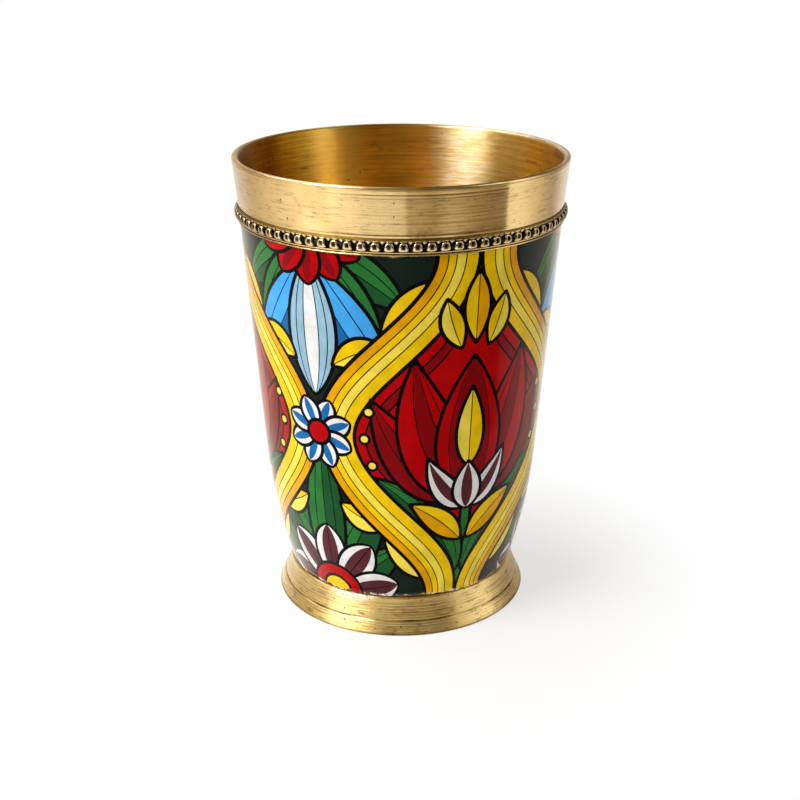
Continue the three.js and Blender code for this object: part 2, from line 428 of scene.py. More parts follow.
def beaded_wire():
    """Oval beads on a thin string, flat against the wall and broader at the foot. Each has a dimple, painted
    black as a dark reflection; the gaps, wider at the top, are black with patina and painted shade."""
    middle = (bead_low.z + bead_high.z) / 2
    bead_radius = (bead_high.z - bead_low.z) / 2
    back = radius_on(flare, middle) + JOINT_GAP
    pitch = 2 * math.pi / BEAD_COUNT
    share = np.arange(BEAD_STEPS) / BEAD_STEPS - 0.5
    along = (share * pitch * back / BEAD_STRETCH)[:, None]
    angle = math.pi * (np.arange(DOME_STEPS + 1) / DOME_STEPS - 0.5)
    away = np.abs(along) / (bead_radius * (1 - BEAD_LEAN * np.sin(angle)))
    sphere = np.maximum(0, 1 - away ** BEAD_POWER) ** (1 / BEAD_POWER)
    sphere = np.tile(sphere, (BEAD_COUNT, 1))
    rise = np.maximum(sphere * bead_radius, STRING_HEIGHT / 2)
    reach = np.maximum(sphere * bead_radius, STRING_REACH)
    bead = np.arange(BEAD_COUNT)
    turn = ((bead[:, None] + share[None]) * pitch + BEAD_TURN).reshape(-1, 1)
    z = middle + rise * np.sin(angle)
    core_side = (along / CORE_HALF_WIDTH) ** CORE_POWER
    core_end = ((angle - CORE_ANGLE) / CORE_HALF_ANGLE) ** CORE_POWER
    core = np.tile(np.exp(-core_side - core_end), (BEAD_COUNT, 1))
    swell = np.maximum(np.cos(angle), 0) ** BEAD_FLATNESS
    radius = radius_on(flare, z) + JOINT_GAP + reach * swell - CORE_DEPTH * core
    vertices = np.stack([radius * np.sin(turn), -radius * np.cos(turn), z], 2).reshape(-1, 3)
    inward = grid_faces(BEAD_COUNT * BEAD_STEPS, DOME_STEPS + 1)
    faces = np.roll(inward[:, ::-1], 1, axis=1)
    gap = np.tile(np.clip((away - CROWN_SHARE) / GAP_FADE, 0, 1), (BEAD_COUNT, 1))
    # Black in the gaps is patina and painted shade; black in each dimple is a painted dark reflection
    patina = np.maximum(gap, core)
    return vertices, faces.tolist(), patina.ravel()


# Print: a bold lattice of ogee frames with tulips and palmettes, as layers of flat outlines in millimetres

REPEATS = 3
PRINT_RADIUS = 37.0
PANEL = 2 * math.pi * PRINT_RADIUS / REPEATS
RISE = (FILM_TOP - FILM_FOOT) / MM
AXIS = PANEL / 2
LINE = 0.48
HAIR = 0.14
STEM_HALF = 1.5
# Least values, which keep a division or a power from failing
LEAST_LENGTH = 1e-9
LEAST_SHARE = 1e-6
LEAST_RISE = 1e-12
INKS = {
    "ground": (24, 36, 31),
    "black": (10, 8, 8),
    "red": (186, 2, 8),
    "crimson": (138, 8, 16),
    "maroon": (92, 42, 50),
    "yellow": (248, 206, 14),
    "lemon": (252, 228, 84),
    "amber": (234, 168, 6),
    "green": (44, 118, 54),
    "moss": (28, 84, 44),
    "white": (238, 238, 240),
    "sky": (70, 170, 244),
    "blue": (24, 108, 176),
    "pale": (150, 190, 214),
}
layers = []


def rotated(points, angle):
    cos, sin = math.cos(angle), math.sin(angle)
    return points @ np.array([[cos, sin], [-sin, cos]])


def normals(points, closed=False):
    """Unit normals of a line, to the left of its direction."""
    if closed:
        along = np.roll(points, -1, 0) - np.roll(points, 1, 0)
    else:
        along = np.gradient(points, axis=0)
    along = along / np.maximum(np.linalg.norm(along, axis=1, keepdims=True), LEAST_LENGTH)
    return np.stack([-along[:, 1], along[:, 0]], 1)


def grown(polygon, distance):
    """A closed outline pushed outwards by a distance."""
    after = np.roll(polygon, -1, 0)
    area = np.sum(polygon[:, 0] * after[:, 1] - polygon[:, 1] * after[:, 0])
    return polygon - normals(polygon, True) * distance * np.sign(area)


def fill(polygon, ink):
    layers.append((np.asarray(polygon, float), ink))


def strip(left, right):
    """Outline of the area between two lines that run the same way."""
    return np.concatenate([left, right[::-1]])


def flipped(points):
    """Points mirrored in the panel's axis."""
    return points * [-1, 1] + [2 * AXIS, 0]


def stroke(points, half_width, ink="black", taper=0.0):
    """A line along points, thinner at its ends by the taper."""
    u = np.linspace(-1, 1, len(points))[:, None]
    side = normals(points) * half_width * (1 - taper * u ** 2)
    fill(strip(points + side, points - side), ink)


def disc(centre, radius, ink, line=LINE, steps=24):
    """A round of ink with a black line round it."""
    angle = np.linspace(0, 2 * math.pi, steps, endpoint=False)
    outline = np.stack([np.cos(angle), np.sin(angle)], 1) * radius + centre
    fill(grown(outline, line), "black")
    fill(grown(outline, -line), ink)


class Leaf:
    """A leaf that grows from its base along a bent spine, widest at its belly. It turns clockwise from up."""

    def __init__(self, base, turn, length, width, bend=0.0, belly=0.42, point=1.0, steps=26):
        u = 0.5 - 0.5 * np.cos(np.linspace(0, math.pi, steps))
        power = point * belly / (1 - belly)
        half = np.maximum(u, LEAST_SHARE) ** power * np.maximum(1 - u, LEAST_SHARE) ** point
        self.half = half / half.max() * width / 2
        self.spine = rotated(np.stack([bend * u ** 2, length * u], 1), -math.radians(turn)) + np.array(base)
        self.side = normals(self.spine)

    def edge(self, share):
        """Curve from base to tip at a share of the half width, left of the spine when positive."""
        return self.spine + self.side * (self.half * share)[:, None]

    def band(self, left, right):
        """Outline between two shares of the half width, inside the leaf's black line."""
        wide = self.half > LINE
        half = (self.half[wide] - LINE)[:, None]
        spine, side = self.spine[wide], self.side[wide]
        return strip(spine + side * half * left, spine + side * half * right)

    def paint(self, ink, bands=(), veins=()):
        """Draws the leaf, with bands of other inks and thin veins at shares of the half width."""
        outline = np.concatenate([self.edge(1.0), self.edge(-1.0)[::-1][1:-1]])
        fill(grown(outline, LINE), "black")
        fill(outline, "black")
        for left, right, band_ink in ((1, -1, ink), *bands):
            fill(self.band(left, right), band_ink)
        for share in veins:
            stroke(self.edge(share)[1:-1], HAIR, "black", 0.7)


def mirrored(draw):
    """Draws one side of the panel, then the same side mirrored in the panel's axis."""
    start = len(layers)
    draw()
    for polygon, ink in layers[start:]:
        layers.append((flipped(polygon)[::-1], ink))


OGEE_MIDDLE = 46.0
OGEE_PERIOD = 92.0
OGEE_SWAY = 0.74
RIBBON_HALF = 4.8
AMBER_EDGE = -2.4
LEMON_LOW = -0.6
LEMON_HIGH = 1.6
TULIP_FOOT = 29.0


def ogee(t):
    """Half width of the ogee frame at a height."""
    return PANEL / 4 * (1 + OGEE_SWAY * np.cos(2 * math.pi * (t - OGEE_MIDDLE) / OGEE_PERIOD))


def ogee_side(low, high, steps=90):
    t = np.linspace(low, high, steps)
    return np.stack([AXIS + ogee(t), t], 1)


def red_field():
    """Red ogee with a darker and a brighter ogee inside it."""
    right = ogee_side(OGEE_MIDDLE - OGEE_PERIOD / 2, OGEE_MIDDLE + OGEE_PERIOD / 2)
    whole = strip(right, flipped(right))
    middle = np.array([AXIS, OGEE_MIDDLE])
    fill(whole, "red")
    for share, ink in ((0.78, "black"), (0.765, "crimson"), (0.70, "black"), (0.685, "red")):
        fill((whole - middle) * [share, share * 0.94] + middle, ink)


def ribbon():
    """Striped ribbon up one side of the ogee."""
    spine = ogee_side(-14, 108)
    side = normals(spine)
    edge = RIBBON_HALF - LINE
    stripes = ((-RIBBON_HALF - LINE, RIBBON_HALF + LINE, "black"), (-edge, edge, "yellow"),
               (-edge, AMBER_EDGE, "amber"), (LEMON_LOW, LEMON_HIGH, "lemon"))
    for low, high, ink in stripes:
        fill(strip(spine + side * low, spine + side * high), ink)
    for offset in (AMBER_EDGE, LEMON_LOW, LEMON_HIGH):
        stroke(spine + side * offset, HAIR)


def tulip_leaves():
    Leaf((AXIS + 1.0, 7), 20, 35, 11.5, 12.0, 0.45).paint("green", [(0, -1, "moss")], [0, 0.5])
    Leaf((AXIS + 1.0, 17), 40, 18, 7.0, 3.5, 0.45).paint("yellow", [(0, -1, "amber")], [0])


def tulip_stem():
    stem = np.stack([np.full(12, AXIS), np.linspace(0, TULIP_FOOT + 2, 12)], 1)
    stroke(stem, STEM_HALF + LINE)
    stroke(stem, STEM_HALF - LINE, "green")


def outer_petals():
    Leaf((AXIS + 2.0, TULIP_FOOT + 1), 64, 32, 13.0, -14.0, 0.42).paint(
        "crimson", [(1, 0.3, "red")], [0.3, -0.3])
    Leaf((AXIS + 2.0, TULIP_FOOT + 1), 37, 37, 16.0, -12.5, 0.40).paint(
        "red", [(0.3, -0.3, "crimson")], [0.64, 0.3, -0.3])


def calyx():
    Leaf((AXIS + 0.5, TULIP_FOOT - 2), 60, 16.0, 7.0, -7.0, 0.4).paint("white", [(0.45, -0.45, "maroon")])


def sparks():
    """Small buds and dots round the bloom."""
    Leaf((AXIS + 3.4, 69.0), 26, 13.0, 5.8, -2.0, 0.5).paint("yellow", [(0, -1, "lemon")], [0])
    for turn, reach in ((106, 25.6), (90, 26.4), (74, 26.2)):
        angle = math.radians(turn)
        place = (AXIS + reach * math.sin(angle), OGEE_MIDDLE + reach * math.cos(angle))
        disc(place, 1.25, "lemon", 0.36)


def tulip():
    """Bloom in the middle of the red field."""
    mirrored(outer_petals)
    Leaf((AXIS, TULIP_FOOT), 0, 38, 18.0, 0, 0.40).paint(
        "red", [(0.62, -0.62, "crimson")], [0.62, -0.62])
    Leaf((AXIS, TULIP_FOOT + 9), 0, 21, 7.6, 0, 0.40).paint("lemon", [(0, -1, "yellow")], [0])
    mirrored(calyx)
    Leaf((AXIS, TULIP_FOOT - 3), 0, 13.0, 8.2, 0, 0.4).paint("white", [(0.45, -0.45, "maroon")])
    mirrored(sparks)
    Leaf((AXIS, 70.0), 0, 18.0, 6.6, 0, 0.5).paint("yellow", [(0, -1, "amber")], [0])


def leaflets():
    """Leaves that branch from the ribbon into the dark ground."""
    branches = ((6.0, 50, 20.0, -4.0), (22.0, 78, 13.0, -3.0), (70.0, 102, 13.0, 3.0), (86.0, 130, 20.0, 4.0))
    for t, turn, length, bend in branches:
        base = (AXIS + ogee(t) + 3.2, t)
        Leaf(base, turn, length, 7.4, bend, 0.45).paint("yellow", [(0, -1, "lemon")], [0])


def green_fan(base, leaves, bend):
    """Pairs of green leaves that spread from a base. Each has a turn, a length and a width."""
    for turn, length, width in leaves:
        for side in (1, -1):
            Leaf(base, turn * side, length, width, bend * side, 0.45).paint(
                "green", [(0, -side, "moss")], [0, 0.5 * side])


def palmette():
    """Fan of leaves that rises between two frames, from a half rosette on the lower edge."""
    green_fan((0, 1), ((64, 27, 10.5), (34, 36, 12.0)), -4.5)
    Leaf((0, 3), 0, 44, 12.0, 0, 0.42).paint("green", [(0, -1, "moss")], [0, 0.5, -0.5])
    for turn in (-76, -38, 0, 38, 76):
        Leaf((0, -1), turn, 21.0, 10.5, 0, 0.62, 0.7).paint("white", [(0.55, -0.55, "maroon")], [0])
    disc((0, -1), 9.0, "red", LINE, 32)
    disc((0, -1), 5.2, "yellow", LINE, 28)


def bellflower():
    """Flower that hangs between two frames, from the upper edge."""
    green_fan((0, 94), ((114, 27, 10.5), (142, 34, 11.0)), 4.5)
    for side in (1, -1):
        Leaf((1.6 * side, 90), 160 * side, 31, 12.0, -6.0 * side, 0.55, 0.8).paint(
            "sky", [(-0.2 * side, -side, "blue")], [-0.2 * side, 0.4 * side])
    Leaf((0, 91), 180, 35, 13.0, 0, 0.55, 0.8).paint("pale", [(0.3, -0.3, "white")], [0.3, -0.3, 0.65, -0.65])
    for turn in (-62, -31, 0, 31, 62):
        Leaf((0, 98), 180 + turn, 14.0, 7.0, 0, 0.6, 0.7).paint("red", [(0.4, -0.4, "crimson")])


def knot():
    """Rosette where two frames meet."""
    for k in range(8):
        Leaf((0, OGEE_MIDDLE), 45 * k + 22.5, 9.4, 5.6, 0, 0.6, 0.7).paint("white", [(0.45, -0.45, "blue")])
    disc((0, OGEE_MIDDLE), 3.2, "red")


def draw_panel():
    """All layers of one panel, with those of its neighbours that reach into it."""
    red_field()
    palmette()
    bellflower()
    mirrored(leaflets)
    tulip_stem()
    mirrored(tulip_leaves)
    mirrored(ribbon)
    tulip()
    knot()
    reached = []
    for polygon, ink in layers:
        for shift in (-PANEL, 0, PANEL):
            moved = polygon + [shift, 0]
            if moved[:, 0].max() > 0 and moved[:, 0].min() < PANEL:
                reached.append((moved, ink))
    return reached


def enclosed(points, polygon):
    """Which points lie inside a closed outline, by the sides that each one's level line crosses."""
    hit = np.zeros(len(points), bool)
    near = np.where(np.all((points >= polygon.min(0)) & (points <= polygon.max(0)), axis=1))[0]
    x, y = points[near, 0:1], points[near, 1:2]
    a, b = polygon, np.roll(polygon, -1, 0)
    rise = np.where(b[:, 1] == a[:, 1], LEAST_RISE, b[:, 1] - a[:, 1])
    cross = a[:, 0] + (y - a[:, 1]) * (b[:, 0] - a[:, 0]) / rise
    spans = (a[:, 1] > y) != (b[:, 1] > y)
    hit[near] = np.sum(spans & (x < cross), axis=1) % 2 == 1
    return hit


def seen_sides(panel):
    """Sides of the outlines that no later layer covers, as pairs of end points."""
    starts, ends = [], []
    for k, (polygon, _) in enumerate(panel):
        a, b = polygon, np.roll(polygon, -1, 0)
        probes = np.stack([a, (a + b) / 2, b], 1).reshape(-1, 2)
        seen = ~np.any((np.minimum(a, b) > [PANEL, RISE]) | (np.maximum(a, b) < 0), axis=1)
        for later, _ in panel[k + 1:]:
            if np.all(later.min(0) < polygon.max(0)) and np.all(later.max(0) > polygon.min(0)):
                seen &= ~enclosed(probes, later).reshape(-1, 3).all(1)
        starts.append(a[seen])
        ends.append(b[seen])
    return np.concatenate(starts), np.concatenate(ends)


GRID = 1.5
EDGE_ROWS = (0, 0.3, 0.6, 1.0)
MERGE = 1e-4


def print_panel():
    """One panel as flat triangles, with the ink of each."""
    panel = draw_panel()
    starts, ends = seen_sides(panel)
    columns, rows = round(PANEL / GRID), round(RISE / GRID)
    levels = np.concatenate([EDGE_ROWS, np.linspace(GRID, RISE, rows)])
    grid = np.stack(np.meshgrid(np.linspace(0, PANEL, columns + 1), levels), 2)
    number = np.arange(grid.shape[0] * grid.shape[1]).reshape(grid.shape[:2])
    rim = [number[0], number[-1], number[:, 0], number[:, -1]]
    edges = np.concatenate([np.stack([line[:-1], line[1:]], 1) for line in rim])
    first = number.size
    sides = first + np.arange(2 * len(starts)).reshape(-1, 2)
    points = np.concatenate([grid.reshape(-1, 2), np.stack([starts, ends], 1).reshape(-1, 2)])
    edges = np.concatenate([edges, sides]).tolist()
    flat, _, faces, *_ = delaunay_2d_cdt([Vector(p) for p in points], edges, [], 0, MERGE, False)
    flat = np.array([tuple(p) for p in flat])
    faces = np.array(faces)
    centres = flat[faces].mean(1)
    within = np.all((centres > 0) & (centres < [PANEL, RISE]), axis=1)
    faces, centres = faces[within], centres[within]
    names = list(INKS)
    inks = np.full(len(faces), names.index("ground"))
    for polygon, ink in panel:
        inks[enclosed(centres, polygon)] = names.index(ink)
    return flat, faces, inks


# Sleeve: the flat panels wrapped round the wall as a closed film

PRINT_TURN = math.radians(27)
WEAR_REACH = 3.5
# Turn in degrees, spread and size in millimetres of chips in the lower and the upper edge, and of curls
CHIPS = ((-48, 2.0, 0.4), (-38, 0.8, 0.9), (-33, 1.6, 0.5), (-26, 0.5, 1.0), (-22, 1.2, 0.6),
         (-17, 1.8, 0.35), (-9, 0.6, 0.8), (3, 1.4, 0.4), (11, 0.5, 0.7), (19, 2.2, 0.3), (31, 1.2, 0.6),
         (44, 0.7, 0.9))
TOP_CHIPS = ((-2, 1.5, 0.5),)
TOP_CHIP_REACH = 2
EDGE_CURLS = ((-26, 12, 0.55), (34, 10, 0.5))
CURL_RISE = 1.1
RIDGE_RISE = 1.1
RIDGE_WIDTH = 0.55
RIDGE_HEIGHT = 0.10
MAP_SIZE = [0.98, 0.94]
MAP_START = [0.01, 0.05]
HIDDEN_CORNERS = np.array([[0.0, 0.0], [0.01, 0.0], [0.0, 0.01]])


def lower_wear(turn):
    """How far the torn lower edge of the film stands above its plain line, in millimetres, at each turn."""
    degrees = np.degrees(turn)
    wear = 0.12 + 0.10 * np.sin(3 * turn + 1) * np.sin(11 * turn) + 0.08 * np.sin(29 * turn + 2)
    wear += 0.06 * np.sin(71 * turn + 4) * np.sin(5 * turn)
    for place, width, depth in CHIPS:
        wear += depth * np.exp(-(past(degrees, place) / width) ** FIRM)
    return np.maximum(wear, 0)


def film_points(turn, rise, inset=0.0):
    """Points of the film at angles round the axis and heights above its lower edge, in metres."""
    degrees = np.degrees(turn)
    level = rise + lower_wear(turn) * faded(rise, WEAR_REACH) ** 2
    level = level - zones(degrees, TOP_CHIPS, FIRM) * faded(RISE - rise, TOP_CHIP_REACH)
    ripple = 0.5 + 0.5 * np.sin(13 * turn + 0.6 * np.sin(31 * turn))
    ridge = RIDGE_HEIGHT * np.exp(-((rise - RIDGE_RISE) / RIDGE_WIDTH) ** 2) * ripple
    curl = zones(degrees, EDGE_CURLS, SOFT) * faded(rise, CURL_RISE) ** 2
    height = FILM_FOOT + level * MM
    radius = radius_on(skin, height) - inset + (ridge + curl) * MM
    return np.stack([radius * np.sin(turn), -radius * np.cos(turn), height], -1)


def film_normals(turn, rise):
    """Unit normals of the film's outer side, from the slopes of its points."""
    step_turn, step_rise = 2e-4, 0.02
    across = film_points(turn + step_turn, rise) - film_points(turn - step_turn, rise)
    up = film_points(turn, rise + step_rise) - film_points(turn, rise - step_rise)
    normal = np.cross(across, up)
    return normal / np.linalg.norm(normal, axis=-1, keepdims=True)


SEAM = 1e-3


def welded(flat):
    """For each flat point, the panel step and the point that stand for it, so that panels share seams."""
    step = np.zeros(len(flat), int)
    same = np.arange(len(flat))
    left = np.where(flat[:, 0] < SEAM)[0]
    for i in np.where(flat[:, 0] > PANEL - SEAM)[0]:
        same[i] = left[np.argmin(np.abs(flat[left, 1] - flat[i, 1]))]
        step[i] = 1
    return step, same


def wrapped_panels():
    """Turn and rise of each point of the film, and its triangles with their inks and map corners."""
    flat, panel_faces, panel_inks = print_panel()
    step, same = welded(flat)
    angles, corners, faces = [], [], []
    for k in range(REPEATS):
        share = flat[:, 0] / PANEL + k
        angles.append((share - 0.5) * 2 * math.pi / REPEATS + PRINT_TURN)
        faces.append((same + (k + step) % REPEATS * len(flat))[panel_faces])
        corners.append(np.stack([share / REPEATS, flat[:, 1] / RISE], 1)[panel_faces])
    angles = np.concatenate(angles)
    rises = np.tile(flat[:, 1], REPEATS)
    faces = np.concatenate(faces)
    corners = np.concatenate(corners) * MAP_SIZE + MAP_START
    inks = np.tile(panel_inks, REPEATS)
    whole = (faces[:, 0] != faces[:, 1]) & (faces[:, 1] != faces[:, 2]) & (faces[:, 2] != faces[:, 0])
    used, faces = np.unique(faces[whole], return_inverse=True)
    return angles[used], rises[used], faces.reshape(-1, 3), inks[whole], corners[whole]


def open_sides(faces, total):
    """Sides that belong to one triangle only."""
    edges = np.concatenate([faces[:, [0, 1]], faces[:, [1, 2]], faces[:, [2, 0]]])
    code = edges.min(1) * total + edges.max(1)
    _, where, times = np.unique(code, return_index=True, return_counts=True)
    return edges[where[times == 1]]


def sleeve_mesh():
    """Vertices, normals, triangles, inks and map corners of the whole film, with its back and its edges."""
    angles, rises, faces, inks, corners = wrapped_panels()
    outer = film_points(angles, rises)
    inner = film_points(angles, rises, FILM_THICKNESS)
    facing = film_normals(angles, rises)
    total = len(angles)
    start, end = open_sides(faces, total).T
    border = np.concatenate([
        np.stack([end, start, start + total], 1), np.stack([end, start + total, end + total], 1)])
    plain = list(INKS).index("white")
    hidden = len(faces) + len(border)
    all_faces = np.concatenate([faces, faces[:, ::-1] + total, border])
    all_inks = np.concatenate([inks, np.full(hidden, plain)])
    all_corners = np.concatenate([corners, np.tile(HIDDEN_CORNERS, (hidden, 1, 1))])
    return np.concatenate([outer, inner]), np.concatenate([facing, -facing]), all_faces, all_inks, all_corners


# Node trees

class Nodes:
    """A node tree, built link by link."""

    def __init__(self, owner):
        owner.use_nodes = True
        self.tree = owner.node_tree
        self.tree.nodes.clear()

    def put(self, socket, value):
        if isinstance(value, bpy.types.NodeSocket):
            self.tree.links.new(value, socket)
        else:
            socket.default_value = value

    def add(self, kind, inputs=None, **settings):
        node = self.tree.nodes.new("ShaderNode" + kind)
        for key, value in settings.items():
            setattr(node, key, value)
        for key, value in (inputs or {}).items():
            self.put(node.inputs[key], value)
        return node

    def math(self, operation, a, b=0.0, clamp=False):
        return self.add("Math", {0: a, 1: b}, operation=operation, use_clamp=clamp).outputs[0]

    def times(self, a, b, clamp=False):
        return self.math("MULTIPLY", a, b, clamp)

    def plus(self, a, b):
        return self.math("ADD", a, b)

    def mark(self, name):
        """The value that a piece gives its points under a name."""
        return self.add("Attribute", attribute_name=name).outputs["Fac"]

    def blend(self, factor, a, b, how="MIX"):
        node = self.add("Mix", {0: factor, 6: a, 7: b}, data_type="RGBA", blend_type=how)
        return node.outputs[2]

    def between(self, factor, a, b):
        return self.add("Mix", {0: factor, 2: a, 3: b}, data_type="FLOAT").outputs[0]

    def ranged(self, value, low, high, to_low=0.0, to_high=1.0):
        node = self.add("MapRange", {0: value, 1: low, 2: high, 3: to_low, 4: to_high},
                        interpolation_type="SMOOTHSTEP")
        return node.outputs[0]

    def noise(self, vector, scale, detail=2.0, roughness=0.5):
        inputs = {"Vector": vector, "Scale": scale, "Detail": detail, "Roughness": roughness}
        return self.add("TexNoise", inputs).outputs[0]

    def specks(self, vector, scale, rare, rarest, size):
        """Round dots in the cells that draw a high number, larger for a higher one."""
        cells = self.add("TexVoronoi", {"Vector": vector, "Scale": scale, "Randomness": 1.0})
        chance = self.add("SeparateColor", {0: cells.outputs["Color"]}).outputs[0]
        return self.math("LESS_THAN", cells.outputs["Distance"], self.ranged(chance, rare, rarest, 0.0, size))

    def bump(self, height, distance, normal=None, strength=1.0):
        node = self.add("Bump", {"Height": height, "Distance": distance, "Strength": strength})
        if normal is not None:
            self.put(node.inputs["Normal"], normal)
        return node.outputs[0]


def linear(red, green, blue, alpha=1.0):
    """A colour written in display steps of 0 to 255, as the shader's linear values."""
    steps = np.array([red, green, blue]) / 255
    values = np.where(steps <= 0.04045, steps / 12.92, ((steps + 0.055) / 1.055) ** 2.4)
    return (*values.tolist(), alpha)


# Materials

def new_material(name):
    """A material, its empty node tree and the place of each point on the piece."""
    material = bpy.data.materials.new(name)
    nodes = Nodes(material)
    return material, nodes, nodes.add("TexCoord").outputs["Object"]


BARE_FILM = linear(236, 222, 196)
CRACKED_FILM = linear(24, 16, 12)
WORN_RISE = 1.6 * MM


def film_material():
    """Glossy print: the ink of each face, with a faint wash and specks, under a smooth clear surface that
    gleams at a low angle and where its lower edge curls."""
    material, nodes, place = new_material("printed_film")
    ink = nodes.add("Attribute", attribute_name="ink").outputs["Color"]
    wash = nodes.noise(place, 190.0, 5.0, 0.6)
    value = nodes.ranged(wash, 0.25, 0.75, 0.82, 1.1)
    colour = nodes.add("HueSaturation", {"Value": value, "Color": ink}).outputs[0]
    height = nodes.add("SeparateXYZ", {0: place}).outputs[2]
    edge = nodes.ranged(height, FILM_FOOT + 0.2 * MM, FILM_FOOT + WORN_RISE, 0.28, 0.0)
    scuff = nodes.plus(nodes.noise(place, 420.0, 5.0, 0.7), edge)
    colour = nodes.blend(nodes.ranged(scuff, 0.80, 0.83), colour, BARE_FILM)
    crack = nodes.plus(nodes.noise(place, 1500.0), edge)
    colour = nodes.blend(nodes.ranged(crack, 0.86, 0.89), colour, CRACKED_FILM)
    colour = nodes.blend(nodes.specks(place, 210.0, 0.90, 1.0, 0.035), colour, CRACKED_FILM)
    gleam = nodes.ranged(nodes.add("LayerWeight", {"Blend": 0.5}).outputs["Facing"], 0.26, 0.80)
    curled = nodes.ranged(height, FILM_FOOT + 0.6 * MM, FILM_FOOT + 1.1 * MM, 1.0, 0.0)
    grain = nodes.bump(nodes.noise(place, 2600.0), 0.002 * MM)
    swell = nodes.bump(nodes.noise(place, 75.0), 0.05 * MM, grain)
    shader = nodes.add("BsdfPrincipled", {
        "Base Color": colour, "Roughness": nodes.between(wash, 0.07, 0.13), "Normal": swell,
        "Specular IOR Level": 0.03, "IOR": 1.5,
        "Coat Weight": nodes.math("MAXIMUM", gleam, curled), "Coat Roughness": 0.06, "Coat IOR": 1.5,
    })
    nodes.add("OutputMaterial", {"Surface": shader.outputs[0]})
    return material


AXIS_ROOM = 1e-5
RADIUS_SHARE = 0.7


def turned_space(nodes, place):
    """Coordinates of which two run round the axis and the third runs across the lines of turning."""
    x, y, z = nodes.add("SeparateXYZ", {0: place}).outputs
    radius = nodes.math("SQRT", nodes.plus(nodes.times(x, x), nodes.times(y, y)))
    radius = nodes.math("MAXIMUM", radius, AXIS_ROOM)
    level = nodes.plus(z, nodes.times(radius, RADIUS_SHARE))
    parts = {0: nodes.math("DIVIDE", x, radius), 1: nodes.math("DIVIDE", y, radius), 2: level}
    return nodes.add("CombineXYZ", parts).outputs[0]


def turned_noise(nodes, space, around, across, detail=2.0, roughness=0.5):
    """Noise that changes slowly round the axis and fast across it, so that it draws turning lines."""
    inputs = {0: space, 1: (around, around, across)}
    scaled = nodes.add("VectorMath", inputs, operation="MULTIPLY").outputs[0]
    return nodes.noise(scaled, 1.0, detail, roughness)


# Tints of lines, stains and marks. Those for the inside, for the dark and the pale marked places, for the
# bright bar, for patina and for glue stand partly or wholly for light: painted shade, painted highlight and
# painted reflection.
TINTS = {
    "fine line": (0.30, 0.19, 0.07, 1),
    "bold line": (0.32, 0.20, 0.08, 1),
    "ring": (0.34, 0.20, 0.07, 1),
    "dash": (0.22, 0.13, 0.04, 1),
    "stain": (0.34, 0.20, 0.06, 1),
    "inside": (1.0, 0.86, 0.30, 1),
    "tarnished": (0.54, 0.45, 0.15, 1),
    "worn": (0.98, 0.86, 0.62, 1),
    "polished": (1.0, 0.74, 0.18, 1),
    "pit": (0.05, 0.025, 0.01, 1),
    "patina": (0.010, 0.007, 0.004, 1),
    "pale_glue_and_highlight": (0.92, 0.81, 0.58, 1),
    "speck": (0.14, 0.08, 0.03, 1),
}


def turning_lines(nodes, space, colour, inside):
    """A colour with the fine, bold and broken lines of turning, and with rings inside the cup. The other two
    results are the noise of the fine and of the bold lines."""
    fine = turned_noise(nodes, space, 4.5, 4600, 3.0, 0.6)
    bold = turned_noise(nodes, space, 7.0, 1300, 2.0, 0.55)
    ring = turned_noise(nodes, space, 1.5, 1900, 1.0)
    dash = turned_noise(nodes, space, 26.0, 3200)
    patch = turned_noise(nodes, space, 6.0, 170)
    fine_share = nodes.between(inside, nodes.ranged(patch, 0.40, 0.62, 0.18, 0.92), 0.35)
    drawn = (
        ("fine line", nodes.ranged(fine, 0.30, 0.48, 1.0, 0.0), fine_share),
        ("bold line", nodes.ranged(bold, 0.30, 0.42, 1.0, 0.0), nodes.ranged(patch, 0.40, 0.60, 0.3, 0.7)),
        ("ring", nodes.ranged(ring, 0.42, 0.58, 0.3, 0.0), inside),
        ("dash", nodes.ranged(dash, 0.64, 0.70), nodes.between(inside, 0.6, 0.12)))
    for tint, line, share in drawn:
        colour = nodes.blend(nodes.times(line, share), colour, TINTS[tint])
    return colour, fine, bold


def aged(nodes, space, colour, stain, inside):
    """A colour with stains, the deeper tone of the inside, places of tarnish and painted shade, pale places
    of painted highlight, and a painted bright reflection.
    """
    streak = turned_noise(nodes, space, 7.0, 2200, 2.0, 0.6)
    # Painted highlight, and a painted bright reflection, where the piece marks them
    worn = nodes.times(nodes.mark("worn"), nodes.ranged(streak, 0.40, 0.60, 0.35, 1.0))
    polished = nodes.times(nodes.mark("polished"), nodes.ranged(streak, 0.36, 0.60, 0.75, 1.0))
    colour = nodes.blend(stain, colour, TINTS["stain"])
    # The deeper tint of what is marked inside is partly painted shade: it stands for light that bounces
    # inside the cup
    colour = nodes.blend(inside, colour, TINTS["inside"], "MULTIPLY")
    # Tarnish and painted shade where the piece marks them
    colour = nodes.blend(nodes.mark("tarnished"), colour, TINTS["tarnished"], "MULTIPLY")
    colour = nodes.blend(worn, colour, TINTS["worn"])
    return nodes.blend(polished, colour, TINTS["polished"])


def residue(nodes, place, colour):
    """A colour with pale flakes of dried glue where the piece marks them, which also serve as a painted
    highlight, and where those flakes lie.
    """
    scattered = nodes.plus(nodes.noise(place, 420.0, 6.0, 0.75), nodes.mark("residue"))
    glue_and_highlight_share = nodes.ranged(scattered, 1.04, 1.10, 0.0, 0.8)
    speck = nodes.ranged(nodes.noise(place, 1700.0), 0.64, 0.68)
    pale_glue_and_highlight = nodes.blend(speck, TINTS["pale_glue_and_highlight"], TINTS["speck"])
    return nodes.blend(glue_and_highlight_share, colour, pale_glue_and_highlight), glue_and_highlight_share


INSIDE_ROUGHNESS = 0.32
PATINA_AND_SHADE_ROUGHNESS = 0.6


